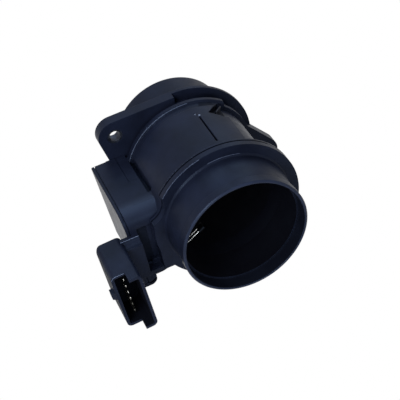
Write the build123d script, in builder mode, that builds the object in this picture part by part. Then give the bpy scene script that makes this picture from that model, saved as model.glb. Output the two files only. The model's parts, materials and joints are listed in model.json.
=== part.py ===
"""Mass airflow sensor: a moulded tube with a hose spigot, two fixing ears, a side box and a plug socket.

The air enters at +Y through the flow grid and leaves at -Y into the hose.
Frame: millimetres, +Z up, +Y along the tube's axis. The origin is on that axis, in the face of the
ears that lies on the air cleaner. The box and the plug socket are on the -X side.
"""
import math
import os

from build123d import *

os.makedirs("parts", exist_ok=True)

# ---- tube, along Y ----
bore_r = 31.0              # air passage through the housing
tube_wall = 3.8
bore_flare_length = 8.0    # cone that widens the passage to the hose spigot's bore
spigot_step = 1.3          # the tube's surface down to the spigot that enters the air cleaner
spigot_length = 24.0
spigot_chamfer = 0.5
rim_y = -88.4              # rim of the hose spigot

# ---- saddle: the thick half of the tube that carries the box ----
saddle_rise = 4.2          # above the plain tube
saddle_side = 17.8         # the saddle ends this far inside its own radius, on the +X side
ridge_rise = 0.5           # ridge above the saddle
ridge_side = 14.5          # the high part of the ridge ends this far inside its own radius
ridge_low_rise = 2.3       # ridge above the plain tube, on the +X side
ridge_y = -10.0            # end of the saddle towards the ears
ridge_width = 3.0
band_drop = 0.9            # shallow band beside the ridge
band_width = 5.0

# ---- joint between the housing and the hose spigot ----
joint_y = -60.4
plate_step = 3.7           # the joint's plates stand out from the saddle
joint_plate_thickness = 1.9
joint_groove = 0.5         # open line round the joint
joint_groove_depth = 1.6
pad_inset = 0.7            # the plates run out to a straight edge beside the box
pad_bottom_z = -22.3
pad_top_z = 11.0
scallop_r = 11.6
scallop_offset = 1.6       # from the box's inner wall
scallop_z = 22.2

# ---- hose spigot ----
collar_thickness = 3.6
bore_step = 2.1            # its bore is wider than the housing's
hose_wall = 1.8            # behind the bead
hose_root_wall = 3.1       # at the collar
hose_root_cone = 0.9       # small cone between the collar and the spigot
rim_bead_wall = 2.9
rim_bead_length = 5.4
rim_bead_ramp = 1.0
mouth_step = 1.2           # the bore widens at the rim
mouth_depth = 8.0
rim_round = 0.7

# ---- disc and ears ----
disc_step = 1.3            # the disc is this much smaller than the joint's plates
disc_thickness = 2.4
ear_thickness = 6.5
left_ear_offset = 8.4      # disc's edge to the bolt's axis
left_ear_angle = 140.9
left_ear_r = 9.7
right_ear_offset = 8.1
right_ear_angle = -25.5
right_ear_r = 9.9
right_ear_root = 9.9       # the right ear's flanks are tangent to a circle this far inside the disc
left_plate_edge_x = -0.8   # the left ear's thick plate ends here on the disc
bolt_hole_r = 3.3
bush_wall = 1.1
bush_recess = 0.3          # the bush's end sits below the ear's front face
bush_fit = 0.03

# ---- box for the electronics ----
box_near_y = -57.5
box_far_y = -7.0
box_top_z = 17.5
box_bottom_z = -34.5
box_offset = 4.0           # joint's plates to the wall beside the tube
box_top_width = 8.1        # that wall to the edge of the cover's seat, at the top
cover_draft = 3.3          # the seat leans in by this many degrees towards the bottom
box_nose_r = 8.5           # round end of the box's top
box_corner_r = 4.0
box_wall = 2.6
box_floor = 2.8
web_inset = 7.5            # from the box's near end to the web
web_foot_inset = 1.9       # the web stands further out below the nose
nose_depth = 10.0          # depth of the nose between the box and the saddle
nose_overlap = 3.0         # the nose runs on behind its round end
recess_width = 3.8         # the box's near wall steps back to the web beside the neck
recess_bottom_z = -19.0
gusset_height = 5.0        # wall that joins the web's lower edge to the plate
foot_height = 2.2          # rib from the neck to the plates, along the pad's lower edge
foot_near_y = -63.6
foot_gap = 0.2             # between the rib and the hose spigot's pad

# ---- cover of the box ----
cover_thickness = 2.2
cover_gap = 0.3            # between the cover's edge and the socket's neck
cover_edge_round = 0.6
cover_seam = 0.5           # open line round the cover
cover_seam_depth = 0.6
seal_width = 1.2
seal_depth = 0.8
seal_inset = 0.9
seal_fit = 0.03

# ---- slots and pocket of the saddle ----
side_slot_offset = 10.2    # from the box's inner wall
side_slot_width = 2.8
side_slot_far_y = -13.0
side_slot_near_y = -44.5
side_slot_depth = 5.0
top_slot_angle = 81.8
top_slot_width = 1.1
top_slot_far_y = -23.0
top_slot_near_y = -52.0
top_slot_depth = 3.0
pocket_angle = 62.0
pocket_depth = 4.2
pocket_far_y = -14.6
pocket_near_y = -30.0
pocket_tip_y = -25.0       # the pocket narrows to a point on the crown's side
pocket_tip = 7.2
pocket_far_tip = 2.6
pocket_edge = 12.0         # the pocket is open past the saddle's edge
pocket_rib = 0.5
pocket_rib_foot = 6.5      # from the pocket's middle to the rib's far end
top_step_offset = 4.2      # the top face drops a little beside the side slot
top_step_near_y = -31.0
top_step_depth = 0.5

# ---- plug socket ----
socket_offset = 20.0       # box's inner wall to the socket's middle
socket_lean = 2.3          # the socket leans out at the top by this many degrees
socket_mid_z = -14.1
socket_width = 15.1
socket_height = 39.0
socket_corner_r = 3.0
socket_wall = 1.7
socket_far_y = -55.4
socket_far_r = 4.0         # round far outer edge
socket_front_y = -82.2     # the half away from the tube
socket_tongue_y = -89.0    # the half beside the tube stands out further
socket_split = 0.6         # from the middle to where the longer half starts
socket_floor_y = -64.9
latch_width = 5.0
latch_rise = 2.2
latch_foot = 1.4           # from the socket's edge to where the latch's ramp starts
latch_crest = 3.0
latch_back = 6.2
latch_lift = 4.1           # the latch's middle above the socket's middle

# ---- neck between the box and the socket ----
neck_left = 4.7            # from the socket's middle
neck_right = 16.2
neck_length = 7.0
neck_ledge = 2.5           # flat part of its top
neck_top_z = 5.0
neck_bottom_z = -22.0
neck_hollow_r = 3.0

# ---- terminals ----
pin_count = 6
pin_pitch = 4.9
pin_inset = 0.7            # from the socket's middle, away from the tube
pin_top_z = -3.8
pin_tip_inset = 4.2        # from the socket's edge to the terminals' ends
pin_bend_depth = 2.9       # from the socket's floor to the bend
pin_thickness = 0.8
pin_height = 1.5
pin_chamfer = 0.3
pin_grip = 0.02            # between a terminal and the plastic moulded round it
pin_jog = 5.7              # the terminals draw together between the socket's middle and here
tail_pitch = 3.1
tail_top_z = -4.6
tail_end_y = -52.5

# ---- circuit board and what is on it ----
board_thickness = 1.2
board_margin = 0.8         # board's edge to the wall of the box
board_gap = 0.1            # board to the floor of the box
joint_gap = 0.05           # solder height
chip_size = 10.0
chip_thickness = 1.6
chip_y = -27.0
chip_z = 1.0
regulator_length = 8.0
regulator_width = 6.0
regulator_thickness = 1.8
regulator_y = -42.0
regulator_z = 8.5
capacitor_length = 3.2
capacitor_width = 1.7
capacitor_thickness = 1.2
capacitor_count = 3
capacitor_pitch = 5.0
capacitor_y = -42.0
capacitor_z = -4.0

# ---- bypass channel: the tongue that reaches into the air ----
tongue_tip_x = 7.0
tongue_z = -1.0
tongue_height = 14.0
tongue_near_y = -46.0
tongue_far_y = -24.0
tongue_wall = 1.5
tongue_nose_r = 4.5
tongue_clearance = 0.2
foot_thickness = 1.3
foot_overlap = 2.2
duct_root_x = -22.0
duct_island_far_x = -14.0
duct_island_near_x = -1.0
duct_island_half = 2.0
inlet_width = 5.0
inlet_height = 6.0
outlet_length = 6.0
outlet_width = 3.5
lid_thickness = 1.2
lid_overlap = 0.9
lid_fit = 0.05
film_root_x = -25.0
film_end_x = -10.0
film_width = 4.0
film_thickness = 0.6
film_fit = 0.03

# ---- temperature sensor: a bead on two leads ----
lead_r = 0.45
lead_pitch = 2.4
lead_y = -58.0
lead_angle = 210.3
lead_root = 3.4            # depth of the leads in the wall
lead_end_r = 18.6
lead_fit = 0.03
bead_r = 18.3
bead_half_length = 1.9
bead_half_width = 1.2

# ---- flow grid and its split ring ----
grid_seat_y = 9.5
grid_seat_step = 0.8       # the passage is wider here
grid_thickness = 5.0
grid_fit = 0.1
grid_rim = 1.8
grid_pitch = 6.4
grid_bar = 0.9
ring_thickness = 1.6
ring_width = 1.7
ring_opening = 6.0

# ---- seal round the air cleaner's spigot ----
seal_groove_y = 2.4
seal_groove_length = 3.6
seal_groove_depth = 1.0
seal_ring_r = 1.5

# ---- values that follow from the ones above ----
tube_r = bore_r + tube_wall
spigot_r = tube_r - spigot_step
saddle_r = tube_r + saddle_rise
saddle_side_x = saddle_r - saddle_side
ridge_r = saddle_r + ridge_rise
ridge_side_x = ridge_r - ridge_side
ridge_low_r = tube_r + ridge_low_rise
band_r = saddle_r - band_drop
band_far_y = ridge_y - ridge_width
joint_plate_r = saddle_r + plate_step
disc_r = joint_plate_r - disc_step
right_ear_root_r = disc_r - right_ear_root
hose_bore_r = bore_r + bore_step
hose_r = hose_bore_r + hose_wall
hose_root_r = hose_bore_r + hose_root_wall
rim_bead_r = hose_bore_r + rim_bead_wall
mouth_r = hose_bore_r + mouth_step
pad_left_x = pad_inset - joint_plate_r
collar_front_y = joint_y - collar_thickness
plate_back_y = joint_y + joint_plate_thickness
box_inner_x = -joint_plate_r - box_offset
box_seat_x = box_inner_x - box_top_width
box_floor_x = box_inner_x - box_floor
scallop_x = box_inner_x + scallop_offset
side_slot_left_x = box_inner_x + side_slot_offset
top_step_left_x = box_inner_x + top_step_offset
box_length = box_far_y - box_near_y
box_height = box_top_z - box_bottom_z
cover_slope = box_height / math.cos(math.radians(cover_draft))
box_seat_low_x = box_seat_x + box_height * math.tan(math.radians(cover_draft))
web_depth = box_top_z - pad_bottom_z
nose_far_y = box_near_y + box_nose_r + nose_overlap
web_near_y = box_near_y + web_inset
web_foot_y = box_near_y + web_foot_inset
bush_r = bolt_hole_r + bush_wall
bush_length = ear_thickness - bush_recess
socket_x = box_inner_x - socket_offset
pin_tip_y = socket_front_y + pin_tip_inset
pin_bend_y = socket_floor_y + pin_bend_depth
neck_left_x = socket_x + neck_left
neck_right_x = socket_x + neck_right
neck_near_y = box_near_y - neck_length
neck_ledge_y = box_near_y - neck_ledge
board_face_x = box_floor_x - board_gap - board_thickness
part_face_x = board_face_x - joint_gap
tail_x = part_face_x - pin_thickness / 2
tongue_mid_y = (tongue_near_y + tongue_far_y) / 2
tongue_length = tongue_far_y - tongue_near_y
tongue_top_z = tongue_z + tongue_height / 2
tongue_low_z = tongue_z - tongue_height / 2
duct_low_z = tongue_low_z + tongue_wall
duct_top_z = tongue_top_z - lid_thickness
duct_near_y = tongue_near_y + tongue_wall
duct_far_y = tongue_far_y - tongue_wall
duct_tip_x = tongue_tip_x - tongue_wall
film_y = (duct_near_y + tongue_mid_y - duct_island_half) / 2
film_z = (duct_low_z + duct_top_z) / 2
lead_start_r = hose_bore_r + lead_root
grid_bore_r = bore_r + grid_seat_step
grid_r = grid_bore_r - grid_fit
seal_floor_r = spigot_r - seal_groove_depth


def around(radius, angle):
    """Point of the XZ plane at a radius and an angle in degrees, with +X right and +Z up."""
    return (radius * math.cos(math.radians(angle)), radius * math.sin(math.radians(angle)))


ears = {
    "left": (around(disc_r + left_ear_offset, left_ear_angle), left_ear_r, disc_r),
    "right": (around(disc_r + right_ear_offset, right_ear_angle), right_ear_r, right_ear_root_r),
}


def across(y):
    """Plane square to the tube: local x along +X, local y along +Z, normal along -Y."""
    return Plane(origin=(0, y, 0), x_dir=(1, 0, 0), z_dir=(0, -1, 0))


def radial(angle, radius, inward=False):
    """Plane square to a radius of the tube: local x along the tube, normal outward or inward."""
    x, z = around(1.0, angle)
    out = Vector(x, 0, z)
    return Plane(origin=out * radius, x_dir=(0, 1, 0), z_dir=-out if inward else out)


def seat(inward=0.0):
    """Plane of the cover's seat: local x along +Y, local y up the seat from its top, normal inward."""
    lean = math.radians(cover_draft)
    normal = Vector(math.cos(lean), 0, math.sin(lean))
    return Plane(origin=Vector(box_seat_x, 0, box_top_z) + normal * inward, x_dir=(0, 1, 0), z_dir=normal)


def side_outline(plane, top, bottom, inset, near_inset=0.0):
    """Outline of the box as seen from its side, with the round nose at its near top corner."""
    near = box_near_y + inset + near_inset
    far = box_far_y - inset
    nose = max(box_nose_r - inset, 1.0)
    with BuildSketch(plane) as outline:
        with BuildLine():
            Polyline(
                (near, top - inset - nose),
                (near, bottom + inset),
                (far, bottom + inset),
                (far, top - inset),
                (near + nose, top - inset),
            )
            RadiusArc((near + nose, top - inset), (near, top - inset - nose), -nose)
        make_face()
    return outline.sketch


def joint_outline(y, inset):
    """Outline of the joint's plates: a round plate with a straight-edged pad and a scallop."""
    with BuildSketch(across(y)) as outline:
        Circle(joint_plate_r - inset)
        with Locations((pad_left_x + inset, pad_top_z - inset)):
            Rectangle(
                -pad_left_x - inset,
                pad_top_z - pad_bottom_z - 2 * inset,
                align=(Align.MIN, Align.MAX),
            )
        with Locations((scallop_x, scallop_z)):
            Circle(scallop_r + inset, mode=Mode.SUBTRACT)
    return outline.sketch


def socket_frame(y):
    """Plane square to the tube at the socket's middle: local y runs up the leaning socket."""
    lean = math.radians(socket_lean)
    middle = Vector(socket_x, y, socket_mid_z)
    return Plane(origin=middle, x_dir=(math.cos(lean), 0, math.sin(lean)), z_dir=(0, -1, 0))


def socket_level(height):
    """Plane across the socket, this far above its middle: local y runs along the tube."""
    frame = socket_frame(0)
    return Plane(origin=frame.origin + frame.y_dir * height, x_dir=frame.x_dir, z_dir=frame.y_dir)


def socket_outline(y, inset):
    """Outline of the plug socket."""
    with BuildSketch(socket_frame(y)) as outline:
        RectangleRounded(socket_width - 2 * inset, socket_height - 2 * inset, socket_corner_r - inset)
    return outline.sketch


def tongue_outline(x, grow):
    """Outline of the tongue, seen along X."""
    with BuildSketch(Plane.YZ.offset(x)) as outline:
        with Locations((tongue_mid_y, tongue_z)):
            RectangleRounded(tongue_length + 2 * grow, tongue_height + 2 * grow, tongue_nose_r + grow)
    return outline.sketch


def terminal(index, grip):
    """One terminal: blade, jog across the bend, and tail on the board; grip makes it thicker all round."""
    blade_z = pin_top_z - pin_pitch * index
    blade_x = socket_x - pin_inset - (blade_z - socket_mid_z) * math.tan(math.radians(socket_lean))
    tail_z = tail_top_z - tail_pitch * index
    wide = pin_thickness + 2 * grip
    high = pin_height + 2 * grip
    with BuildPart() as pin:
        with BuildSketch(across(pin_bend_y + wide / 2)):
            with Locations((blade_x, blade_z)):
                Rectangle(wide, high)
        extrude(amount=pin_bend_y + wide / 2 - pin_tip_y + grip)
        if grip == 0:
            chamfer(pin.faces().sort_by(Axis.Y)[0].edges(), length=pin_chamfer)
        with BuildSketch(across(pin_bend_y + wide / 2)):
            with BuildLine():
                Polyline(
                    (blade_x - wide / 2, blade_z),
                    (socket_x + pin_jog, tail_z),
                    (tail_x + wide / 2, tail_z),
                )
            trace(line_width=high)
        extrude(amount=wide)
        with BuildSketch(across(tail_end_y + grip)):
            with Locations((tail_x, tail_z)):
                Rectangle(wide, high)
        extrude(amount=tail_end_y + grip - pin_bend_y)
    return pin.part


pins = [terminal(index, 0) for index in range(pin_count)]
pin_channels = [terminal(index, pin_grip) for index in range(pin_count)]

# ================= main housing =================
with BuildPart() as housing:
    # box, cut to the lean of the cover's seat
    extrude(side_outline(Plane.YZ.offset(box_inner_x), box_top_z, box_bottom_z, 0), amount=-2 * box_nose_r)
    with BuildSketch(across(box_far_y)):
        with BuildLine():
            Polyline(
                (box_seat_x, box_top_z),
                (box_seat_low_x, box_bottom_z),
                (box_seat_x - 2 * box_nose_r, box_bottom_z),
                (box_seat_x - 2 * box_nose_r, box_top_z),
                close=True,
            )
        make_face()
    extrude(amount=box_length, mode=Mode.SUBTRACT)
    fillet(
        housing.edges().filter_by(Axis.Y).group_by(Axis.Z)[0].sort_by(Axis.X)[-1],
        radius=box_corner_r,
    )
    # web behind the box, and the nose above it
    with BuildSketch(across(ridge_y)):
        with Locations((box_inner_x, box_top_z)):
            Rectangle(-box_inner_x - bore_r / 2, web_depth, align=(Align.MIN, Align.MAX))
    extrude(amount=ridge_y - web_near_y)
    with BuildSketch(across(web_near_y)):
        with Locations((box_inner_x, box_top_z - nose_depth)):
            Rectangle(
                -box_inner_x - bore_r / 2, web_depth - nose_depth, align=(Align.MIN, Align.MAX)
            )
    extrude(amount=web_near_y - web_foot_y)
    with BuildSketch(Plane.YZ.offset(box_inner_x)):
        with BuildLine():
            Polyline(
                (box_near_y, box_top_z - box_nose_r),
                (box_near_y, box_top_z - nose_depth),
                (nose_far_y, box_top_z - nose_depth),
                (nose_far_y, box_top_z),
                (box_near_y + box_nose_r, box_top_z),
            )
            RadiusArc(
                (box_near_y + box_nose_r, box_top_z),
                (box_near_y, box_top_z - box_nose_r),
                -box_nose_r,
            )
        make_face()
    extrude(amount=-box_inner_x - tube_r)
    with BuildSketch(across(web_foot_y)):
        with Locations((box_inner_x, pad_bottom_z)):
            Rectangle(-box_inner_x - bore_r / 2, gusset_height, align=(Align.MIN, Align.MIN))
    extrude(amount=web_foot_y - plate_back_y)
    # the box's near wall steps back beside the neck, and a rib runs under the step
    with BuildSketch(across(web_foot_y)):
        with Locations((box_inner_x, box_top_z - nose_depth)):
            Rectangle(
                recess_width, box_top_z - nose_depth - recess_bottom_z, align=(Align.MAX, Align.MAX)
            )
    extrude(amount=web_foot_y - box_near_y, mode=Mode.SUBTRACT)
    with BuildSketch(across(web_foot_y)):
        with Locations((neck_right_x, pad_bottom_z)):
            Rectangle(pad_left_x - foot_gap - neck_right_x, foot_height, align=(Align.MIN, Align.MIN))
    extrude(amount=web_foot_y - foot_near_y)
    # saddle with its band and ridge, cut off on the +X side
    with BuildSketch(Plane.XY):
        with BuildLine():
            Polyline(
                (bore_r, joint_y + joint_groove),
                (saddle_r, joint_y + joint_groove),
                (saddle_r, band_far_y - band_width),
                (band_r, band_far_y - band_width + (saddle_r - band_r) / 2),
                (band_r, band_far_y),
                (ridge_r, band_far_y + (ridge_r - band_r) / 2),
                (ridge_r, ridge_y),
                (bore_r, ridge_y),
                close=True,
            )
        make_face()
    revolve(axis=Axis.Y)
    with BuildSketch(across(ridge_y)):
        with Locations((ridge_side_x, 0)):
            Rectangle(2 * saddle_r, 3 * saddle_r, align=(Align.MIN, Align.CENTER))
    extrude(amount=ridge_y - joint_y, mode=Mode.SUBTRACT)
    with BuildSketch(across(ridge_y - ridge_width)):
        with Locations((saddle_side_x, 0)):
            Rectangle(2 * saddle_r, 3 * saddle_r, align=(Align.MIN, Align.CENTER))
    extrude(amount=ridge_y - ridge_width - joint_y, mode=Mode.SUBTRACT)
    # plain tube with the low part of the ridge, and the spigot with its seal's groove
    with BuildSketch(Plane.XY):
        with BuildLine():
            Polyline(
                (0, joint_y),
                (tube_r, joint_y),
                (tube_r, band_far_y),
                (ridge_low_r, band_far_y),
                (ridge_low_r, ridge_y),
                (tube_r, ridge_y),
                (tube_r, -disc_thickness / 2),
                (spigot_r, -disc_thickness / 2),
                (spigot_r, seal_groove_y),
                (seal_floor_r, seal_groove_y),
                (seal_floor_r, seal_groove_y + seal_groove_length),
                (spigot_r, seal_groove_y + seal_groove_length),
                (spigot_r, spigot_length - spigot_chamfer),
                (spigot_r - spigot_chamfer / 2, spigot_length),
                (0, spigot_length),
                close=True,
            )
        make_face()
    revolve(axis=Axis.Y)
    # disc and ears
    with BuildSketch(across(0)):
        Circle(disc_r)
    extrude(amount=disc_thickness)
    for side, (bolt_at, ear_r, root_r) in ears.items():
        with BuildSketch(across(0)):
            Circle(root_r)
            with Locations(bolt_at):
                Circle(ear_r)
            make_hull()
            if side == "left":
                with Locations((left_plate_edge_x, 0)):
                    Rectangle(
                        2 * disc_r, 3 * disc_r, align=(Align.MIN, Align.CENTER), mode=Mode.SUBTRACT
                    )
        extrude(amount=ear_thickness)
    # plate at the joint, with the open line round it
    extrude(joint_outline(plate_back_y, 0), amount=joint_plate_thickness - joint_groove)
    extrude(joint_outline(joint_y + joint_groove, joint_groove_depth), amount=joint_groove)
    # plug socket, round at its far outer edge and longer beside the tube
    extrude(socket_outline(socket_far_y, 0), amount=socket_far_y - socket_front_y)
    with BuildSketch(socket_level(-socket_height / 2)):
        with Locations((-socket_width / 2, socket_far_y)):
            Rectangle(socket_far_r, socket_far_r, align=(Align.MIN, Align.MAX))
        with Locations((socket_far_r - socket_width / 2, socket_far_y - socket_far_r)):
            Circle(socket_far_r, mode=Mode.SUBTRACT)
    extrude(amount=socket_height, mode=Mode.SUBTRACT)
    extrude(socket_outline(socket_front_y, 0), amount=socket_front_y - socket_tongue_y)
    with BuildSketch(socket_frame(socket_front_y)):
        with Locations((socket_split, 0)):
            Rectangle(socket_width, 2 * socket_height, align=(Align.MAX, Align.CENTER))
    extrude(amount=socket_front_y - socket_tongue_y, mode=Mode.SUBTRACT)
    # neck between the box and the socket
    with BuildSketch(Plane.YZ.offset(neck_left_x)):
        hollow_y = neck_ledge_y - neck_hollow_r
        hollow_z = neck_top_z - neck_hollow_r
        with BuildLine():
            Polyline(
                (hollow_y, hollow_z),
                (neck_near_y, hollow_z),
                (neck_near_y, neck_bottom_z),
                (box_near_y, neck_bottom_z),
                (box_near_y, neck_top_z),
                (neck_ledge_y, neck_top_z),
            )
            RadiusArc((neck_ledge_y, neck_top_z), (hollow_y, hollow_z), neck_hollow_r)
        make_face()
    extrude(amount=neck_right_x - neck_left_x)
    # latch on the socket's outer wall
    with BuildSketch(socket_level(latch_lift - latch_width / 2)):
        with BuildLine():
            Polyline(
                (socket_wall - socket_width / 2, socket_front_y + latch_foot),
                (-socket_width / 2, socket_front_y + latch_foot),
                (-socket_width / 2 - latch_rise, socket_front_y + latch_crest),
                (-socket_width / 2 - latch_rise, socket_front_y + latch_back),
                (socket_wall - socket_width / 2, socket_front_y + latch_back),
                close=True,
            )
        make_face()
    extrude(amount=latch_width)
    # socket's cavity
    extrude(
        socket_outline(socket_floor_y, socket_wall),
        amount=socket_floor_y - socket_tongue_y,
        mode=Mode.SUBTRACT,
    )
    # air passage and the grid's seat
    with BuildSketch(Plane.XY):
        with BuildLine():
            Polyline(
                (0, joint_y),
                (hose_bore_r, joint_y),
                (bore_r, joint_y + bore_flare_length),
                (bore_r, grid_seat_y),
                (grid_bore_r, grid_seat_y),
                (grid_bore_r, spigot_length),
                (0, spigot_length),
                close=True,
            )
        make_face()
    revolve(axis=Axis.Y, mode=Mode.SUBTRACT)
    # cavity of the box, and the seal's groove in its edge
    extrude(
        side_outline(Plane.YZ.offset(box_floor_x), box_top_z, box_bottom_z, box_wall),
        amount=-2 * box_nose_r,
        mode=Mode.SUBTRACT,
    )
    with BuildSketch(seat()):
        add(side_outline(Plane.XY, 0, -cover_slope, seal_inset))
        add(side_outline(Plane.XY, 0, -cover_slope, seal_inset + seal_width), mode=Mode.SUBTRACT)
    extrude(amount=seal_depth, mode=Mode.SUBTRACT)
    # way through the web for the tongue, and the recess for its foot
    extrude(tongue_outline(box_floor_x, tongue_clearance), amount=-box_floor_x, mode=Mode.SUBTRACT)
    extrude(
        tongue_outline(box_floor_x, foot_overlap + tongue_clearance),
        amount=foot_thickness + tongue_clearance,
        mode=Mode.SUBTRACT,
    )
    # channels that the terminals fill
    for channel in pin_channels:
        add(channel, mode=Mode.SUBTRACT)
    # holes for the bushes
    with BuildSketch(across(0)):
        with Locations(ears["left"][0], ears["right"][0]):
            Circle(bush_r + bush_fit)
    extrude(amount=ear_thickness, mode=Mode.SUBTRACT)
    # holes for the leads of the temperature sensor
    with BuildSketch(radial(lead_angle, lead_start_r, inward=True)):
        with Locations((lead_y - lead_pitch / 2, 0), (lead_y + lead_pitch / 2, 0)):
            Circle(lead_r + lead_fit)
    extrude(amount=lead_start_r - lead_end_r, mode=Mode.SUBTRACT)
    # slot beside the box's top, slot on the crown, step in the top face
    with BuildSketch(Plane.XY.offset(box_top_z - side_slot_depth)):
        with Locations((side_slot_left_x, side_slot_near_y)):
            Rectangle(side_slot_width, side_slot_far_y - side_slot_near_y, align=(Align.MIN, Align.MIN))
    extrude(amount=2 * side_slot_depth, mode=Mode.SUBTRACT)
    with BuildSketch(radial(top_slot_angle, saddle_r - top_slot_depth)):
        with Locations(((top_slot_near_y + top_slot_far_y) / 2, 0)):
            Rectangle(top_slot_far_y - top_slot_near_y, top_slot_width)
    extrude(amount=2 * top_slot_depth, mode=Mode.SUBTRACT)
    with BuildSketch(Plane.XY.offset(box_top_z - top_step_depth)):
        with Locations((top_step_left_x, top_step_near_y)):
            Rectangle(
                side_slot_left_x - top_step_left_x,
                box_far_y - top_step_near_y,
                align=(Align.MIN, Align.MIN),
            )
    extrude(amount=2 * top_step_depth, mode=Mode.SUBTRACT)
    # pocket in the saddle's edge beside the ridge
    with BuildSketch(radial(pocket_angle, saddle_r - pocket_depth)):
        with BuildLine():
            Polyline(
                (pocket_tip_y, pocket_tip),
                (pocket_far_y, -pocket_far_tip),
                (pocket_far_y, -pocket_edge),
                (pocket_near_y, -pocket_edge),
                (pocket_near_y, 0),
                close=True,
            )
        make_face()
        with BuildLine(mode=Mode.PRIVATE) as rib_line:
            Polyline((pocket_tip_y, pocket_far_tip), (pocket_far_y, -pocket_rib_foot))
        trace(rib_line.line, line_width=pocket_rib, mode=Mode.SUBTRACT)
    extrude(amount=2 * pocket_depth, mode=Mode.SUBTRACT)
housing.part.label = "main_housing"

# ================= hose spigot =================
with BuildPart() as hose_spigot:
    extrude(joint_outline(joint_y, 0), amount=collar_thickness)
    with BuildSketch(Plane.XY):
        with BuildLine():
            bead_back_y = rim_y + rim_bead_length
            Polyline(
                (0, joint_y - collar_thickness / 2),
                (hose_root_r + hose_root_cone, joint_y - collar_thickness / 2),
                (hose_root_r + hose_root_cone, collar_front_y),
                (hose_root_r, collar_front_y - hose_root_cone),
                (hose_r, bead_back_y + rim_bead_ramp),
                (rim_bead_r, bead_back_y),
                (rim_bead_r, rim_y + rim_round),
                (rim_bead_r - rim_round, rim_y),
                (0, rim_y),
                close=True,
            )
        make_face()
    revolve(axis=Axis.Y)
    with BuildSketch(Plane.XY):
        with BuildLine():
            Polyline(
                (0, joint_y),
                (hose_bore_r, joint_y),
                (hose_bore_r, rim_y + mouth_depth),
                (mouth_r, rim_y + mouth_depth),
                (mouth_r, rim_y + rim_round / 2),
                (mouth_r + rim_round / 2, rim_y),
                (0, rim_y),
                close=True,
            )
        make_face()
    revolve(axis=Axis.Y, mode=Mode.SUBTRACT)
hose_spigot.part.label = "hose_spigot"

# ================= electronics cover and its seal =================
with BuildPart() as cover:
    extrude(
        side_outline(seat(), 0, -cover_slope, cover_seam_depth, cover_gap),
        amount=-cover_seam,
    )
    extrude(
        side_outline(seat(-cover_seam), 0, -cover_slope, 0, cover_gap),
        amount=cover_seam - cover_thickness,
    )
    fillet(cover.faces().sort_by(SortBy.AREA)[-1].edges(), radius=cover_edge_round)
cover.part.label = "electronics_cover"

with BuildPart() as seal:
    extrude(
        side_outline(seat(), 0, -cover_slope, seal_inset + seal_fit),
        amount=seal_depth - seal_fit,
    )
    extrude(
        side_outline(seat(), 0, -cover_slope, seal_inset + seal_width - seal_fit),
        amount=seal_depth,
        mode=Mode.SUBTRACT,
    )
seal.part.label = "cover_seal"

# ================= circuit board and the pieces on it =================
with BuildPart() as board:
    extrude(
        side_outline(
            Plane.YZ.offset(box_floor_x - board_gap),
            box_top_z,
            box_bottom_z,
            box_wall + board_margin,
        ),
        amount=-board_thickness,
    )
board.part.label = "circuit_board"

with BuildPart() as chip:
    with BuildSketch(Plane.YZ.offset(part_face_x)):
        with Locations((chip_y, chip_z)):
            Rectangle(chip_size, chip_size)
    extrude(amount=-chip_thickness)
    chamfer(chip.faces().sort_by(Axis.X)[0].edges(), length=chip_thickness / 4)
chip.part.label = "signal_chip"

with BuildPart() as regulator:
    with BuildSketch(Plane.YZ.offset(part_face_x)):
        with Locations((regulator_y, regulator_z)):
            Rectangle(regulator_length, regulator_width)
    extrude(amount=-regulator_thickness)
    chamfer(regulator.faces().sort_by(Axis.X)[0].edges(), length=regulator_thickness / 4)
regulator.part.label = "voltage_regulator"

capacitors = []
for index in range(capacitor_count):
    with BuildPart() as capacitor:
        with BuildSketch(Plane.YZ.offset(part_face_x)):
            with Locations((capacitor_y, capacitor_z - capacitor_pitch * index)):
                Rectangle(capacitor_length, capacitor_width)
        extrude(amount=-capacitor_thickness)
    capacitor.part.label = f"filter_capacitor_{index + 1}"
    capacitors.append(capacitor.part)

for index, pin in enumerate(pins):
    pin.label = f"terminal_pin_{index + 1}"

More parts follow.
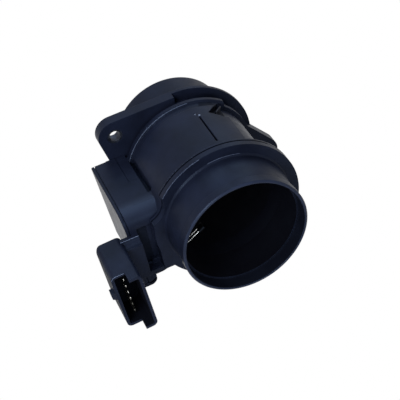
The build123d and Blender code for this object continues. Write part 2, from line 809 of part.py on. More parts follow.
# ================= bypass channel with its cover and the hot film =================
with BuildPart() as bypass:
    extrude(tongue_outline(box_floor_x, foot_overlap), amount=foot_thickness)
    extrude(
        tongue_outline(box_floor_x + foot_thickness / 2, 0),
        amount=tongue_tip_x - box_floor_x - foot_thickness / 2,
    )
    fillet(bypass.faces().sort_by(Axis.X)[-1].edges(), radius=tongue_wall / 2)
    # duct that turns round an island, open towards the cover
    with BuildSketch(Plane.XY.offset(duct_low_z)):
        with Locations(((duct_root_x + duct_tip_x) / 2, tongue_mid_y)):
            Rectangle(duct_tip_x - duct_root_x, duct_far_y - duct_near_y)
        with Locations(((duct_island_far_x + duct_island_near_x) / 2, tongue_mid_y)):
            Rectangle(duct_island_near_x - duct_island_far_x, 2 * duct_island_half, mode=Mode.SUBTRACT)
    extrude(amount=tongue_height, mode=Mode.SUBTRACT)
    # rebate for the cover
    with BuildSketch(Plane.XY.offset(duct_top_z)):
        with Locations(((duct_root_x + duct_tip_x) / 2, tongue_mid_y)):
            Rectangle(
                duct_tip_x - duct_root_x + 2 * lid_overlap,
                duct_far_y - duct_near_y + 2 * lid_overlap,
            )
    extrude(amount=2 * lid_thickness, mode=Mode.SUBTRACT)
    # inlet towards the grid, outlet on the underside
    with BuildSketch(across(tongue_far_y + tongue_wall)):
        with Locations((duct_tip_x - inlet_width / 2, film_z)):
            Rectangle(inlet_width, inlet_height)
    extrude(amount=3 * tongue_wall, mode=Mode.SUBTRACT)
    with BuildSketch(Plane.XY.offset(tongue_low_z)):
        with Locations((duct_root_x + outlet_length, film_y)):
            Rectangle(outlet_length, outlet_width)
    extrude(amount=tongue_wall, mode=Mode.SUBTRACT)
    # slit that holds the hot film's root
    with BuildSketch(Plane.YZ.offset(film_root_x - film_fit)):
        with Locations((film_y, film_z)):
            Rectangle(film_thickness + 2 * film_fit, film_width + 2 * film_fit)
    extrude(amount=duct_root_x - film_root_x + film_fit, mode=Mode.SUBTRACT)
bypass.part.label = "bypass_channel"

with BuildPart() as bypass_lid:
    with BuildSketch(Plane.XY.offset(duct_top_z)):
        with Locations(((duct_root_x + duct_tip_x) / 2, tongue_mid_y)):
            Rectangle(
                duct_tip_x - duct_root_x + 2 * (lid_overlap - lid_fit),
                duct_far_y - duct_near_y + 2 * (lid_overlap - lid_fit),
            )
    extrude(amount=lid_thickness)
bypass_lid.part.label = "bypass_cover"

with BuildPart() as film:
    with BuildSketch(Plane.YZ.offset(film_root_x)):
        with Locations((film_y, film_z)):
            Rectangle(film_thickness, film_width)
    extrude(amount=film_end_x - film_root_x)
film.part.label = "hot_film_plate"

# ================= temperature sensor =================
with BuildPart() as sensor:
    with BuildSketch(radial(lead_angle, lead_start_r, inward=True)):
        with Locations((lead_y - lead_pitch / 2, 0), (lead_y + lead_pitch / 2, 0)):
            Circle(lead_r)
    extrude(amount=lead_start_r - lead_end_r)
    with BuildSketch(radial(lead_angle, bead_r + bead_half_length, inward=True)):
        with Locations((lead_y, 0)):
            SlotCenterToCenter(lead_pitch, 2 * bead_half_width)
    extrude(amount=2 * bead_half_length)
    fillet(sensor.faces().sort_by(Axis.X)[-1].edges(), radius=bead_half_width / 2)
sensor.part.label = "temperature_sensor"

# ================= flow grid and its ring =================
with BuildPart() as grid:
    with BuildSketch(across(grid_seat_y + grid_thickness)):
        Circle(grid_r)
        Circle(grid_r - grid_rim, mode=Mode.SUBTRACT)
    extrude(amount=grid_thickness)
    with BuildSketch(across(grid_seat_y + grid_thickness)):
        bar_count = int(grid_r / grid_pitch)
        for step in range(-bar_count, bar_count + 1):
            with Locations((step * grid_pitch, 0)):
                Rectangle(grid_bar, 2 * grid_r)
            with Locations((0, step * grid_pitch)):
                Rectangle(2 * grid_r, grid_bar)
        Circle(grid_r - grid_rim / 2, mode=Mode.INTERSECT)
    extrude(amount=grid_thickness)
grid.part.label = "flow_grid"

with BuildPart() as ring:
    with BuildSketch(across(grid_seat_y + grid_thickness + ring_thickness)):
        Circle(grid_r)
        Circle(grid_r - ring_width, mode=Mode.SUBTRACT)
        with Locations((0, -grid_r)):
            Rectangle(ring_opening, 4 * ring_width, mode=Mode.SUBTRACT)
    extrude(amount=ring_thickness)
ring.part.label = "grid_retainer"

# ================= bushes and the spigot's seal =================
bushes = []
for side, (bolt_at, ear_r, root_r) in ears.items():
    with BuildPart() as bush:
        with BuildSketch(across(0)):
            with Locations(bolt_at):
                Circle(bush_r)
                Circle(bolt_hole_r, mode=Mode.SUBTRACT)
        extrude(amount=bush_length)
    bush.part.label = f"ear_bush_{side}"
    bushes.append(bush.part)

with BuildPart() as spigot_seal:
    with BuildSketch(Plane.XY):
        with Locations((seal_floor_r + seal_ring_r + seal_fit, seal_groove_y + seal_groove_length / 2)):
            Circle(seal_ring_r)
    revolve(axis=Axis.Y)
spigot_seal.part.label = "spigot_seal"

single = [housing, hose_spigot, cover, seal, board, chip, regulator, bypass, bypass_lid, film, sensor]
single += [grid, ring, spigot_seal]
pieces = [piece.part for piece in single] + capacitors + pins + bushes
for piece in pieces:
    export_step(piece, f"parts/{piece.label}.step")
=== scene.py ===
"""Looks of the mass airflow sensor: materials, small moulded details, studio light and camera.

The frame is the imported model's: +Z up, +Y along the tube towards the air cleaner, the origin on the tube's
axis in the ears' rear face. Sizes of the part are in millimetres. Lamps, camera, floor and textures are in
metres.
"""

import json
import math

import bmesh
import bpy
from mathutils import Matrix, Vector


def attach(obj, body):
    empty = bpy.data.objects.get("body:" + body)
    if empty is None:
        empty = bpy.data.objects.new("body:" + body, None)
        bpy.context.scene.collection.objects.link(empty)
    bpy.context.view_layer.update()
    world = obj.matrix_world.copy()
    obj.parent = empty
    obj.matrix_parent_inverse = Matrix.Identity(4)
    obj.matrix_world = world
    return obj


MM = 0.001

# ---- faces of the imported model with a material of their own: painted shade, painted highlights and the sensor's bead, in mm ----
HOUSING_BORE_R = 33.3                      # the passage through the housing lies inside this radius
HOSE_BORE_R = 33.6                         # and that through the hose spigot inside this one
HOSE_MOUTH_R, HOSE_MOUTH_Y = 34.6, -80.0   # wider bore at the rim
RIM_R, RIM_Y = 34.4, -87.6                 # end face of the rim
BEAD_R = 20.6                              # the sensor's bead is nearer to the axis, its leads further out
SOCKET_X, SOCKET_Z = -66.7, -14.1          # middle of the plug socket's hollow
SOCKET_HALF_X, SOCKET_HALF_Z = 5.95, 17.9
SOCKET_SLOPE = math.tan(math.radians(2.3))
SOCKET_FLOOR_Y = -64.0
SOCKET_SIDE_X = -73.0                      # the socket's outer side lies beyond
SHADED_PINS = 5, 6                         # terminals deep in the socket's shade, darker metal as painted shade
SADDLE_CUT_X, SADDLE_CUT_Z = 21.2, 10.0    # plane that cuts the saddle off, and the foot of the cut
SADDLE_CUT_FROM, SADDLE_CUT_TO = 17.0, 22.0
PLANE_REACH = 0.1                          # faces this near to a plane belong to it
POCKET_R_FROM, POCKET_R_TO = 34.0, 38.95   # pocket beside the ridge
POCKET_FROM, POCKET_TO = 56.0, 76.0        # in degrees from +X towards +Z
POCKET_Y_FROM, POCKET_Y_TO = -31.0, -14.4
NOSE_SIDE_X, NOSE_FOOT_Z = -36.0, 7.4      # round end of the box's top
NOSE_START_Y, NOSE_TOP_Z = -47.0, 17.6
SQUARE = 0.95                              # a normal's share along an axis, if the face lies square to it
HIGHLIGHT_BAND_Y, HIGHLIGHT_BAND_Z, HIGHLIGHT_BAND_REACH = -51.0, 16.2, 7.5   # painted highlight: a lighter band along the round end

# ---- joint between the housing and the hose spigot, in mm ----
PLATE_R = 42.7
PLATE_FROM, PLATE_TO = 46.0, 142.9         # in degrees
SCALLOP_R, SCALLOP = 11.6, (-45.1, 22.2)
SCALLOP_FROM, SCALLOP_TO, SCALLOP_STEP = 17.9, -74.5, 4.0
PAD_X, PAD_TOP, PAD_BOTTOM = -42.0, 11.0, -22.3
JOINT_LINE_Y = -60.15
LINE_DEPTH, LINE_RISE, LINE_WIDTH = 0.4, 0.02, 0.9

# ---- painted highlights: light rods along round edges, in mm ----
PLATE_EDGE_R = PLATE_R - 0.2
HIGHLIGHT_EDGE_ARCS = (                              # name, radius, y, from and to in degrees, thickness
    ("plate_edge", PLATE_EDGE_R, -59.4, 104.0, 140.0, 0.2),
    ("collar_edge", PLATE_EDGE_R, -63.85, 103.0, 142.0, 0.21),
    ("root_edge", 37.02, -64.0, 70.0, 99.0, 0.12),
    ("ridge_edge", 39.34, -13.0, 84.0, 160.0, 0.17),
)
NECK_EDGE_X, NECK_EDGE_Y, NECK_EDGE_Z = (-61.9, -50.7), -60.0, 4.9
NECK_EDGE_R = 0.2
MOUTH_EDGE_R = 0.23
MOUTH_EDGES = (                            # name, y, then x, z and the way out in degrees at each point
    ("mouth_edge_1", -82.15, ((-74.6, 2.9, 160), (-73.9, 4.1, 130), (-72.6, 4.9, 100), (-67.2, 5.0, 90))),
    ("mouth_edge_2", -88.77, (
        (-65.6, 5.2, 90), (-62.8, 5.15, 80), (-61.3, 4.75, 60),
        (-60.3, 3.8, 30), (-59.95, 2.4, 0), (-59.75, -3.0, 0),
    )),
)

# ---- blocks and lips of the box, as low and high corners or as outlines in X and Z, in mm ----
# painted shade: thin dark sheet in the recess beside the neck
NECK_RECESS_PAINTED_SHADE = (-50.45, -55.75, -18.9), (-44.8, -55.5, 7.4)
HEEL_OUTER = (-48.0, -10.2, 2.0), (-42.5, -6.62, 17.48)
HEEL_INNER = (-42.5, -10.2, 2.0), (-36.6, -6.62, 16.98)
LIP_TOP_Z, LIP_BOTTOM_Z = -33.5, -36.0
LIP_ROUND_X, LIP_ROUND_Z, LIP_ROUND_R = -50.7, -32.0, 4.0
LIP_END = [(-46.7, -31.5), (-50.0, LIP_TOP_Z)]
LIP_RUNS = (-55.1, -57.5, -54.0), (-53.4, -54.0, -7.05)   # left side, then y from and to
LIP_TAIL = (-56.8, -57.5, -34.0), (-53.6, -56.6, -26.0)
FOOT_LIP = [(-48.6, -22.2), (-48.6, -23.5), (-43.5, -23.4), (-38.5, -22.2)]
FOOT_LIP_NEAR_Y, FOOT_LIP_FAR_Y = -63.6, -55.8

# ---- closed end of the crown's slot, and the marks beside it, in mm ----
SLOT_ANGLE, SLOT_HALF_WIDTH = 81.8, 0.56
SLOT_FLOOR_R, SLOT_TOP_R = 36.4, 38.99
SLOT_NEAR_Y, SLOT_FAR_Y = -27.4, -22.9
CROWN_R, MARK_RISE, MARK_ROOT = 39.0, 0.25, 0.3
CROWN_MARKS = (                            # name, degrees, y, radius
    ("crown_mark_1", 80.9, -25.9, 0.6),
    ("crown_mark_2", 83.9, -24.5, 0.42),
)

# ---- studio, in metres and watts ----
FLOOR_Z, FLOOR_HALF = -0.0435, 3.0
SOFT_COLOUR, SOFT_STRENGTH = (0.92, 0.95, 1.0, 1.0), 0.15
WHITE = (1.0, 1.0, 1.0, 1.0)
LAMP_TARGET = (0.0, -0.03, 0.0)
LAMPS = (                                  # name, place, width and height, power, colour
    ("key", (-0.27, -0.31, 0.31), (0.2, 0.2), 2.3, (0.92, 0.97, 1.0)),
    ("front", (0.0, -1.0, 0.18), (0.5, 0.4), 3.2, (0.72, 0.86, 1.0)),
    ("top", (0.0, -0.03, 1.0), (0.4, 0.4), 2.0, (0.68, 0.84, 1.0)),
    ("back", (0.0, 0.47, 0.86), (0.5, 0.4), 2.8, (0.6, 0.8, 1.0)),
    ("right", (0.54, 0.5, 0.64), (0.4, 0.4), 2.2, (0.58, 0.78, 1.0)),
)
CAMERA_PLACE = (-0.12178, -0.49837, 0.41263)
CAMERA_RIGHT = (0.90720604, -0.38339726, -0.17315813)
CAMERA_DOWN = (-0.3802492, -0.57123647, -0.72739222)
CAMERA_AHEAD = (0.17996594, 0.72573786, -0.66401568)
CAMERA_LENS, CAMERA_SENSOR = 101.23, 36.0  # in mm

# ---- looks: darker and lighter colour in 8-bit sRGB, lowest and highest roughness ----
EDGE, FINE_EDGE = 0.0004, 0.0001           # radius of the shaded edges, in metres
SHEEN = 0.07                               # specular level of the plastics
SHEEN_TINT = (0.58, 0.74, 1.0, 1.0)
# painted highlight colour of the band along the box's round end
HIGHLIGHT_BAND_COLOUR = (37, 43, 58)
BODY = (15, 18, 29), (23, 27, 42)
PLASTICS = {                               # then the edges' radius and the specular level
    "housing_plastic": (*BODY, 0.34, 0.46, EDGE, SHEEN),
    # painted highlight: the box's top and round end, with a lighter band along the round end
    "nose_painted_highlight_plastic": (*BODY, 0.32, 0.44, EDGE, SHEEN),
    "cover_plastic": ((16, 19, 30), (23, 27, 41), 0.3, 0.4, EDGE, SHEEN),
    # painted highlight: lighter colour on the rim's end face
    "rim_painted_highlight_plastic": ((24, 28, 42), (34, 39, 56), 0.3, 0.42, EDGE, 0.12),
    # painted shade: darker colour in the hose mouth, the pocket, on the saddle's cut face, the socket's outer
    # side and beside the neck
    "dim_painted_shade_plastic": ((11, 13, 21), (17, 20, 30), 0.45, 0.6, EDGE, 0.04),
    # painted shade: near-black colour in the bores and the socket's hollow
    "shaded_plastic": ((6, 6, 11), (10, 11, 17), 0.6, 0.75, EDGE, 0.03),
    # painted highlight: lighter colour of the rods along the edges
    "edge_painted_highlight_plastic": ((58, 64, 82), (84, 92, 112), 0.3, 0.4, FINE_EDGE, 0.3),
    # painted glint: lighter colour of the crown's pips
    "pip_painted_glint_plastic": ((88, 96, 116), (120, 128, 146), 0.3, 0.4, FINE_EDGE, 0.3),
    # painted shade: near-black strip in the joint's open line
    "joint_painted_shade_plastic": ((2, 3, 8), (4, 5, 11), 0.7, 0.8, FINE_EDGE, 0.02),
    "channel_plastic": ((8, 9, 12), (12, 14, 18), 0.5, 0.62, EDGE, SHEEN),
    "chip_plastic": ((18, 18, 20), (28, 28, 31), 0.45, 0.6, FINE_EDGE, SHEEN),
    "capacitor_body": ((150, 118, 82), (176, 142, 102), 0.35, 0.5, FINE_EDGE, SHEEN),
    "film_ceramic": ((196, 194, 186), (216, 214, 206), 0.25, 0.35, FINE_EDGE, SHEEN),
    "bead_glass": ((10, 10, 12), (17, 17, 20), 0.3, 0.4, FINE_EDGE, 0.12),
}
METALS = {
    "terminal_metal": ((205, 203, 196), (238, 236, 230), 0.16, 0.28),
    # painted shade: darker copy of the terminal metal for pins deep in the socket
    "shaded_metal": ((84, 82, 76), (112, 110, 104), 0.4, 0.5),
    "sensor_metal": ((222, 222, 222), (246, 246, 244), 0.1, 0.2),
    "grid_metal": ((150, 152, 156), (180, 182, 186), 0.35, 0.5),
    "ring_steel": ((140, 141, 144), (170, 171, 174), 0.3, 0.4),
    "bush_metal": ((40, 43, 52), (62, 66, 77), 0.42, 0.55),
}
RUBBER = (14, 14, 15), (24, 24, 26)
SOLDER_MASK, SOLDER_MASK_DARK, TRACK = (24, 92, 48), (20, 78, 42), (52, 128, 70)


# ================= materials =================
def srgb(colour):
    """Scene-linear colour from 8-bit sRGB values."""
    out = []
    for value in colour:
        value /= 255
        out.append(value / 12.92 if value <= 0.04045 else ((value + 0.055) / 1.055) ** 2.4)
    return (*out, 1.0)


def grey(value):
    return (value, value, value, 1.0)


def add_node(nodes, kind, **values):
    """New node with the values of its inputs. An underscore stands for a space in an input's name."""
    node = nodes.new(kind)
    for name, value in values.items():
        node.inputs[name.replace("_", " ")].default_value = value
    return node


def new_material(name):
    """New material, its nodes, its links and its Principled shader."""
    material = bpy.data.materials.new(name)
    material.use_nodes = True
    nodes, links = material.node_tree.nodes, material.node_tree.links
    nodes.clear()
    output = nodes.new("ShaderNodeOutputMaterial")
    shader = nodes.new("ShaderNodeBsdfPrincipled")
    links.new(shader.outputs["BSDF"], output.inputs["Surface"])
    return material, nodes, links, shader


def object_coords(nodes):
    return nodes.new("ShaderNodeTexCoord").outputs["Object"]


def object_noise(nodes, links, scale, detail=3.0, roughness=0.5):
    """Noise that keeps its place on the object, at this many waves to the metre."""
    noise = add_node(nodes, "ShaderNodeTexNoise", Scale=scale, Detail=detail, Roughness=roughness)
    links.new(object_coords(nodes), noise.inputs["Vector"])
    return noise.outputs["Fac"]


def blend(nodes, links, source, low, high, target, start=0.3, end=0.7):
    """Carry a source to a target through a ramp from low, at start, to high, at end."""
    ramp = nodes.new("ShaderNodeValToRGB")
    for element, position, colour in zip(ramp.color_ramp.elements, (start, end), (low, high)):
        element.position = position
        element.color = colour
    links.new(source, ramp.inputs["Fac"])
    links.new(ramp.outputs["Color"], target)


def relief(nodes, links, height, shader, strength, distance, edge=None, samples=6):
    """Bump of the height on the shader's normal, on top of shaded round edges where a radius is given."""
    bump = add_node(nodes, "ShaderNodeBump", Strength=strength, Distance=distance)
    links.new(height, bump.inputs["Height"])
    if edge:
        bevel = add_node(nodes, "ShaderNodeBevel", Radius=edge)
        bevel.samples = samples
        links.new(bevel.outputs["Normal"], bump.inputs["Normal"])
    links.new(bump.outputs["Normal"], shader.inputs["Normal"])


def moulded_plastic(name, dark, light, rough_low, rough_high, edge, level):
    """Moulded plastic: clouded colour, uneven sheen, fine grain and edges that catch the light."""
    material, nodes, links, shader = new_material(name)
    cloud = object_noise(nodes, links, scale=55.0, detail=4.0, roughness=0.55)
    blend(nodes, links, cloud, srgb(dark), srgb(light), shader.inputs["Base Color"])
    sheen = object_noise(nodes, links, scale=180.0, roughness=0.6)
    blend(nodes, links, sheen, grey(rough_low), grey(rough_high), shader.inputs["Roughness"])
    grain = object_noise(nodes, links, scale=2600.0, detail=2.0, roughness=0.6)
    relief(nodes, links, grain, shader, strength=0.35, distance=0.00004, edge=edge)
    shader.inputs["Specular IOR Level"].default_value = level
    shader.inputs["Specular Tint"].default_value = SHEEN_TINT
    return material


def add_painted_highlight_band(material):
    """Painted highlight: a lighter band in the material's colour, along the round end of the box's top."""
    nodes, links = material.node_tree.nodes, material.node_tree.links
    shader = next(node for node in nodes if node.type == "BSDF_PRINCIPLED")
    plain = shader.inputs["Base Color"].links[0].from_socket
    reach = HIGHLIGHT_BAND_REACH * MM
    place = nodes.new("ShaderNodeMapping")
    place.inputs["Scale"].default_value = (0.0, 1 / reach, 1 / reach)
    place.inputs["Location"].default_value = (0.0, -HIGHLIGHT_BAND_Y * MM / reach, -HIGHLIGHT_BAND_Z * MM / reach)
    links.new(object_coords(nodes), place.inputs["Vector"])
    away = nodes.new("ShaderNodeVectorMath")
    away.operation = "LENGTH"
    links.new(place.outputs["Vector"], away.inputs[0])
    fade = add_node(nodes, "ShaderNodeMapRange", To_Min=1.0, To_Max=0.0)
    fade.interpolation_type = "SMOOTHSTEP"
    links.new(away.outputs["Value"], fade.inputs["Value"])
    mix = nodes.new("ShaderNodeMix")
    mix.data_type = "RGBA"
    first, second = (socket for socket in mix.inputs if socket.type == "RGBA")
    mixed = next(socket for socket in mix.outputs if socket.type == "RGBA")
    second.default_value = srgb(HIGHLIGHT_BAND_COLOUR)
    links.new(fade.outputs["Result"], mix.inputs["Factor"])
    links.new(plain, first)
    links.new(mixed, shader.inputs["Base Color"])


def plated_metal(name, dark, light, rough_low, rough_high):
    """Plated metal with cloudy tarnish and fine scratches along the tube's direction."""
    material, nodes, links, shader = new_material(name)
    shader.inputs["Metallic"].default_value = 1.0
    cloud = object_noise(nodes, links, scale=400.0, detail=4.0, roughness=0.6)
    blend(nodes, links, cloud, srgb(dark), srgb(light), shader.inputs["Base Color"], 0.35, 0.65)
    blend(nodes, links, cloud, grey(rough_low), grey(rough_high), shader.inputs["Roughness"])
    stretch = add_node(nodes, "ShaderNodeMapping", Scale=(900.0, 60.0, 900.0))
    links.new(object_coords(nodes), stretch.inputs["Vector"])
    scratches = add_node(nodes, "ShaderNodeTexNoise", Scale=6.0)
    links.new(stretch.outputs["Vector"], scratches.inputs["Vector"])
    relief(
        nodes, links, scratches.outputs["Fac"], shader,
        strength=0.25, distance=0.00002, edge=0.0002, samples=4,
    )
    return material


def rubber(name):
    """Dull rubber with a coarse grain."""
    material, nodes, links, shader = new_material(name)
    dark, light = RUBBER
    cloud = object_noise(nodes, links, scale=120.0, detail=5.0, roughness=0.65)
    blend(nodes, links, cloud, srgb(dark), srgb(light), shader.inputs["Base Color"])
    shader.inputs["Roughness"].default_value = 0.75
    grain = object_noise(nodes, links, scale=1500.0)
    relief(nodes, links, grain, shader, strength=0.4, distance=0.00008)
    return material


def board_laminate(name):
    """Green solder mask over copper tracks."""
    material, nodes, links, shader = new_material(name)
    tracks = add_node(
        nodes, "ShaderNodeTexBrick", Color1=srgb(SOLDER_MASK), Color2=srgb(SOLDER_MASK_DARK),
        Mortar=srgb(TRACK), Scale=220.0, Mortar_Size=0.03,
    )
    turn = add_node(nodes, "ShaderNodeMapping", Rotation=(0, math.radians(90), 0))
    links.new(object_coords(nodes), turn.inputs["Vector"])
    links.new(turn.outputs["Vector"], tracks.inputs["Vector"])
    links.new(tracks.outputs["Color"], shader.inputs["Base Color"])
    shader.inputs["Roughness"].default_value = 0.35
    relief(nodes, links, tracks.outputs["Fac"], shader, strength=0.3, distance=0.00003)
    return material


def make_materials():
    materials = {name: moulded_plastic(name, *look) for name, look in PLASTICS.items()}
    materials.update({name: plated_metal(name, *look) for name, look in METALS.items()})
    materials["seal_rubber"] = rubber("seal_rubber")
    materials["board_laminate"] = board_laminate("board_laminate")
    add_painted_highlight_band(materials["nose_painted_highlight_plastic"])
    return materials


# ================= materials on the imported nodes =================
def dress_nodes(frame, materials):
    """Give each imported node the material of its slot."""
    for part in frame["record"]["subparts"]:
        mesh = frame["nodes"][part["node"]].data
        mesh.materials.clear()
        mesh.materials.append(materials[part["material_slot"]])


def repaint(node, material, test):
    """Second material on the faces of a node that pass the test on their centre and normal, in mm."""
    mesh = node.data
    mesh.materials.append(material)
    index = len(mesh.materials) - 1
    for face in mesh.polygons:
        if test(face.center / MM, face.normal):
            face.material_index = index


def from_axis(point):
    """Distance from the tube's axis."""
    return math.hypot(point.x, point.z)


def faces_axis(centre, normal, radius):
    """True for a face nearer to the tube's axis than radius that looks towards the axis."""
    out = Vector((centre.x, 0, centre.z))
    # a face that looks along the tube needs to lean less towards the axis
    lean = 0.5 * max(0.2, 1 - abs(normal.y))
    return out.length < radius and out.dot(normal) < -lean * out.length


def in_socket(centre, normal):
    """True for the walls and floor of the socket's hollow."""
    across = centre.x - SOCKET_X + (centre.z - SOCKET_Z) * SOCKET_SLOPE
    up = centre.z - SOCKET_Z
    return centre.y < SOCKET_FLOOR_Y and abs(across) < SOCKET_HALF_X and abs(up) < SOCKET_HALF_Z


def in_pocket(centre, normal):
    """True for the floor, walls and rib of the pocket beside the ridge, but not for the saddle's cut face."""
    angle = math.degrees(math.atan2(centre.z, centre.x))
    return (
        POCKET_R_FROM < from_axis(centre) < POCKET_R_TO
        and POCKET_FROM < angle < POCKET_TO
        and POCKET_Y_FROM < centre.y < POCKET_Y_TO
        and abs(centre.x - SADDLE_CUT_X) > PLANE_REACH
    )


def on_painted_shade_side(centre, normal):
    """True for the saddle's cut face and for the socket's outer side, which get painted shade."""
    on_cut = normal.x > 0.9 and SADDLE_CUT_FROM < centre.x < SADDLE_CUT_TO and centre.z > SADDLE_CUT_Z
    return on_cut or normal.x < -SQUARE and centre.x < SOCKET_SIDE_X


def on_nose(centre, normal):
    """True for the box's top face and for its round end."""
    on_round = centre.y < NOSE_START_Y and normal.y < -0.1 and normal.z > 0.05
    on_top = normal.z > SQUARE and centre.z < NOSE_TOP_Z
    return centre.x < NOSE_SIDE_X and centre.z > NOSE_FOOT_Z and (on_round or on_top)


def in_hose_mouth(centre, normal):
    """True for the wider bore at the hose spigot's rim."""
    return centre.y < HOSE_MOUTH_Y and HOSE_BORE_R <= from_axis(centre) < HOSE_MOUTH_R


def on_rim(centre, normal):
    """True for the end face of the rim."""
    return centre.y < RIM_Y and normal.y < -0.4 and from_axis(centre) > RIM_R


def paint_faces(frame, materials):
    """Painted shade in the hollows, on dim faces and shaded pins; painted highlights on nose and rim; the
    bead's own material.
    """
    housing, hose_spigot = frame["nodes"]["main_housing"], frame["nodes"]["hose_spigot"]
    shaded, dim_painted_shade = materials["shaded_plastic"], materials["dim_painted_shade_plastic"]
    # painted shade in the bores
    repaint(housing, shaded, lambda c, n: faces_axis(c, n, HOUSING_BORE_R))
    repaint(hose_spigot, shaded, lambda c, n: faces_axis(c, n, HOSE_BORE_R))
    # painted shade in the hose mouth, the pocket, on the saddle's cut face and the socket's outer side
    repaint(hose_spigot, dim_painted_shade, in_hose_mouth)
    repaint(housing, dim_painted_shade, in_pocket)
    repaint(housing, dim_painted_shade, on_painted_shade_side)
    # painted highlights on the box's top and round end, and on the rim's end face
    repaint(housing, materials["nose_painted_highlight_plastic"], on_nose)
    repaint(hose_spigot, materials["rim_painted_highlight_plastic"], on_rim)
    # painted shade in the socket's hollow
    repaint(housing, shaded, in_socket)
    repaint(frame["nodes"]["temperature_sensor"], materials["bead_glass"], lambda c, n: from_axis(c) < BEAD_R)
    # painted shade on the pins deep in the socket
    for index in SHADED_PINS:
        repaint(frame["nodes"][f"terminal_pin_{index}"], materials["shaded_metal"], lambda c, n: True)


# ================= small moulded details =================
def skin(build, rings):
    """Closed skin over rings of points, with a face over the first ring and the last."""
    rings = [[build.verts.new(point) for point in ring] for ring in rings]
    for low, high in zip(rings, rings[1:]):
        for k in range(len(low)):
            after = (k + 1) % len(low)
            build.faces.new((low[k], low[after], high[after], high[k]))
    build.faces.new(list(reversed(rings[0])))
    build.faces.new(rings[-1])


def add_piece(name, material, *bodies, slot="housing_plastic"):
    """Piece of the model that rides on the body, from bodies given as rings of points in millimetres."""
    build = bmesh.new()
    for rings in bodies:
        skin(build, rings)
    bmesh.ops.recalc_face_normals(build, faces=build.faces)
    for vert in build.verts:
        vert.co *= MM
    mesh = bpy.data.meshes.new(name)
    build.to_mesh(mesh)
    build.free()
    mesh.materials.append(material)
    piece = bpy.data.objects.new(name, mesh)
    bpy.context.collection.objects.link(piece)
    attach(piece, "root")


def radial(degrees):
    """Direction away from the tube's axis, from +X towards +Z."""
    angle = math.radians(degrees)
    return Vector((math.cos(angle), 0, math.sin(angle)))


def arc(radius, y, start, end, centre=(0.0, 0.0), outward=1.0, step=1.0):
    """Path along a circle about an axis parallel to Y, as points with their way out."""
    count = max(2, round(abs(end - start) / step))
    path = []
    for k in range(count + 1):
        out = radial(start + (end - start) * k / count)
        path.append((Vector((centre[0], y, centre[1])) + out * radius, out * outward))
    return path


def round_section(radius, sides=8):
    """Round section, as outward and Y sizes."""
    angles = [2 * math.pi * k / sides for k in range(sides)]
    return [(radius * math.cos(angle), radius * math.sin(angle)) for angle in angles]


def flat_section(depth, rise, width):
    """Flat strip from depth under the path to rise above it."""
    return [(-depth, -width / 2), (rise, -width / 2), (rise, width / 2), (-depth, width / 2)]


def sweep(path, section):
    """Section carried along a path of points with their way out."""
    return [[point + out * a + Vector((0, b, 0)) for a, b in section] for point, out in path]


def prism(outline, y_near, y_far):
    """Outline in X and Z, carried from y_near to y_far."""
    return [[(x, y, z) for x, z in outline] for y in (y_near, y_far)]


def block(low, high):
    """Box between its low and high corners."""
    outline = [(low[0], low[2]), (high[0], low[2]), (high[0], high[2]), (low[0], high[2])]
    return prism(outline, low[1], high[1])


def pip(centre, normal, radius):
    """Low round pip with a domed top."""
    side = normal.orthogonal().normalized()
    other = normal.cross(side)
    levels = (1.0, -MARK_ROOT), (1.0, 0.0), (0.8, 0.7 * MARK_RISE), (0.4, MARK_RISE)
    return [
        [centre + normal * height + side * a + other * b for a, b in round_section(radius * scale, sides=12)]
        for scale, height in levels
    ]


def make_joint_line(materials):
    """Open line round the joint: over the crown, round the scallop and down the pad, near-black as painted
    shade in the gap.
    """
    line = arc(PLATE_R, JOINT_LINE_Y, PLATE_FROM, PLATE_TO)
    line += arc(SCALLOP_R, JOINT_LINE_Y, SCALLOP_FROM, SCALLOP_TO, SCALLOP, -1.0, SCALLOP_STEP)
    line += [(Vector((PAD_X, JOINT_LINE_Y, z)), Vector((-1, 0, 0))) for z in (PAD_TOP, PAD_BOTTOM)]
    section = flat_section(LINE_DEPTH, LINE_RISE, LINE_WIDTH)
    add_piece("joint_line", materials["joint_painted_shade_plastic"], sweep(line, section))


def make_painted_highlight_edges(materials):
    """Rods along the edges of the joint's plates, the spigot's root, the ridge, the neck and the socket's
    mouth, lighter as painted highlights.
    """
    painted_highlight = materials["edge_painted_highlight_plastic"]
    for name, radius, y, start, end, thickness in HIGHLIGHT_EDGE_ARCS:
        add_piece(name, painted_highlight, sweep(arc(radius, y, start, end), round_section(thickness)))
    path = [(Vector((x, NECK_EDGE_Y, NECK_EDGE_Z)), Vector((0, 0, 1))) for x in NECK_EDGE_X]
    add_piece("neck_edge", painted_highlight, sweep(path, round_section(NECK_EDGE_R)))
    for name, y, points in MOUTH_EDGES:
        path = [(Vector((x, y, z)), radial(degrees)) for x, z, degrees in points]
        add_piece(name, painted_highlight, sweep(path, round_section(MOUTH_EDGE_R)))


def make_box_details(materials):
    """Painted shade beside the neck as a thin dark sheet, heel that closes the box's far end at the ear, lips
    of the box and its foot.
    """
    plastic = materials["housing_plastic"]
    add_piece("neck_recess_painted_shade", materials["dim_painted_shade_plastic"], block(*NECK_RECESS_PAINTED_SHADE))
    add_piece("box_heel", plastic, block(*HEEL_OUTER), block(*HEEL_INNER))
    corner = [
        (LIP_ROUND_X + LIP_ROUND_R * math.sin(angle), LIP_ROUND_Z - LIP_ROUND_R * math.cos(angle))
        for angle in map(math.radians, range(15, 91, 15))
    ]
    runs = []
    for left, y_near, y_far in LIP_RUNS:
        side = [(left, LIP_TOP_Z), (left, LIP_BOTTOM_Z), (LIP_ROUND_X, LIP_BOTTOM_Z)]
        runs.append(prism(side + corner + LIP_END, y_near, y_far))
    add_piece("box_lip", plastic, *runs, block(*LIP_TAIL))
    add_piece("foot_lip", plastic, prism(FOOT_LIP, FOOT_LIP_NEAR_Y, FOOT_LIP_FAR_Y))


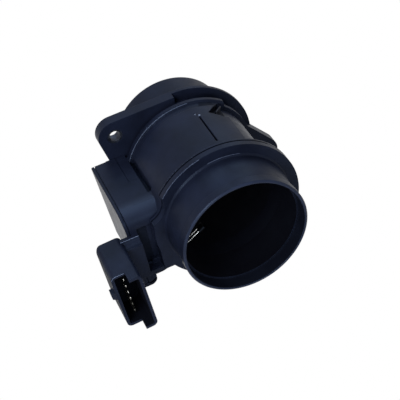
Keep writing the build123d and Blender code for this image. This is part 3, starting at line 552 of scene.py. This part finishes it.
def make_crown_details(materials):
    """Closed far end of the crown's slot, and the marks beside it: pips with a painted glint."""
    out = radial(SLOT_ANGLE)
    across = Vector((-out.z, 0, out.x))
    half = SLOT_HALF_WIDTH
    section = (SLOT_FLOOR_R, -half), (SLOT_TOP_R, -half), (SLOT_TOP_R, half), (SLOT_FLOOR_R, half)
    ends = [[out * r + across * s + Vector((0, y, 0)) for r, s in section] for y in (SLOT_NEAR_Y, SLOT_FAR_Y)]
    add_piece("slot_end", materials["housing_plastic"], ends)
    for name, degrees, y, radius in CROWN_MARKS:
        out = radial(degrees)
        add_piece(name, materials["pip_painted_glint_plastic"], pip(out * CROWN_R + Vector((0, y, 0)), out, radius))


# ================= studio =================
def background_rays(nodes, links):
    """1 for rays that show the background: straight from the camera, in a reflection or through glass."""
    path = nodes.new("ShaderNodeLightPath")
    source = path.outputs["Is Camera Ray"]
    for other in ("Is Glossy Ray", "Is Transmission Ray"):
        either = nodes.new("ShaderNodeMath")
        either.operation = "MAXIMUM"
        links.new(source, either.inputs[0])
        links.new(path.outputs[other], either.inputs[1])
        source = either.outputs["Value"]
    return source


def show_white(nodes, links, lit, white, output):
    """Lit look for the light on the part, plain white for the rays that show the background."""
    mix = nodes.new("ShaderNodeMixShader")
    links.new(background_rays(nodes, links), mix.inputs["Fac"])
    links.new(lit, mix.inputs[1])
    links.new(white, mix.inputs[2])
    links.new(mix.outputs["Shader"], output.inputs["Surface"])


def make_world():
    """Soft light from all round, in front of a white background."""
    world = bpy.data.worlds.new("studio")
    bpy.context.scene.world = world
    world.use_nodes = True
    nodes, links = world.node_tree.nodes, world.node_tree.links
    nodes.clear()
    output = nodes.new("ShaderNodeOutputWorld")
    soft = add_node(nodes, "ShaderNodeBackground", Color=SOFT_COLOUR, Strength=SOFT_STRENGTH)
    white = add_node(nodes, "ShaderNodeBackground", Color=WHITE, Strength=1.0)
    show_white(nodes, links, soft.outputs["Background"], white.outputs["Background"], output)


def make_floor():
    """Pale floor under the part that shows as white."""
    build = bmesh.new()
    sides = (-1, -1), (1, -1), (1, 1), (-1, 1)
    build.faces.new([build.verts.new((x * FLOOR_HALF, y * FLOOR_HALF, FLOOR_Z)) for x, y in sides])
    mesh = bpy.data.meshes.new("floor")
    build.to_mesh(mesh)
    build.free()
    floor = bpy.data.objects.new("floor", mesh)
    bpy.context.collection.objects.link(floor)
    material, nodes, links, shader = new_material("floor_white")
    shader.inputs["Base Color"].default_value = grey(0.8)
    shader.inputs["Roughness"].default_value = 0.9
    glow = add_node(nodes, "ShaderNodeEmission", Color=WHITE, Strength=1.0)
    output = next(node for node in nodes if node.type == "OUTPUT_MATERIAL")
    show_white(nodes, links, shader.outputs["BSDF"], glow.outputs["Emission"], output)
    mesh.materials.append(material)


def make_lamp(name, place, size, watts, colour):
    """Soft rectangular lamp that looks at the part."""
    data = bpy.data.lights.new(name, "AREA")
    data.shape = "RECTANGLE"
    data.size, data.size_y = size
    data.energy = watts
    data.color = colour
    lamp = bpy.data.objects.new(name, data)
    bpy.context.collection.objects.link(lamp)
    lamp.location = place
    lamp.rotation_euler = (Vector(LAMP_TARGET) - Vector(place)).to_track_quat("-Z", "Y").to_euler()


def make_camera():
    """Camera of the photograph, above and to the left of the hose spigot's end."""
    data = bpy.data.cameras.new("photo_camera")
    data.sensor_width = CAMERA_SENSOR
    data.lens = CAMERA_LENS
    data.clip_start = 0.05
    camera = bpy.data.objects.new("photo_camera", data)
    bpy.context.collection.objects.link(camera)
    turn = Matrix((Vector(CAMERA_RIGHT), -Vector(CAMERA_DOWN), -Vector(CAMERA_AHEAD))).transposed()
    camera.matrix_world = Matrix.Translation(Vector(CAMERA_PLACE)) @ turn.to_4x4()
    bpy.context.scene.camera = camera


with open("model.json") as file:
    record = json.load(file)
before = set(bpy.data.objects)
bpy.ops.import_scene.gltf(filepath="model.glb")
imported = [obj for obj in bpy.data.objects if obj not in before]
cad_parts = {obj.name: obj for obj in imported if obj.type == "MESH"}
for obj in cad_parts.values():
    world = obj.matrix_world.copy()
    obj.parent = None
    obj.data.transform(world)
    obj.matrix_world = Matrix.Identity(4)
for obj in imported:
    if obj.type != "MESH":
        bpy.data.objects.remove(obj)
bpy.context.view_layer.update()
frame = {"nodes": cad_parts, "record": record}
materials = make_materials()
dress_nodes(frame, materials)
paint_faces(frame, materials)
make_world()
make_floor()
make_joint_line(materials)
make_painted_highlight_edges(materials)
make_box_details(materials)
make_crown_details(materials)
for lamp in LAMPS:
    make_lamp(*lamp)
make_camera()
bpy.context.scene.view_settings.view_transform = "Standard"
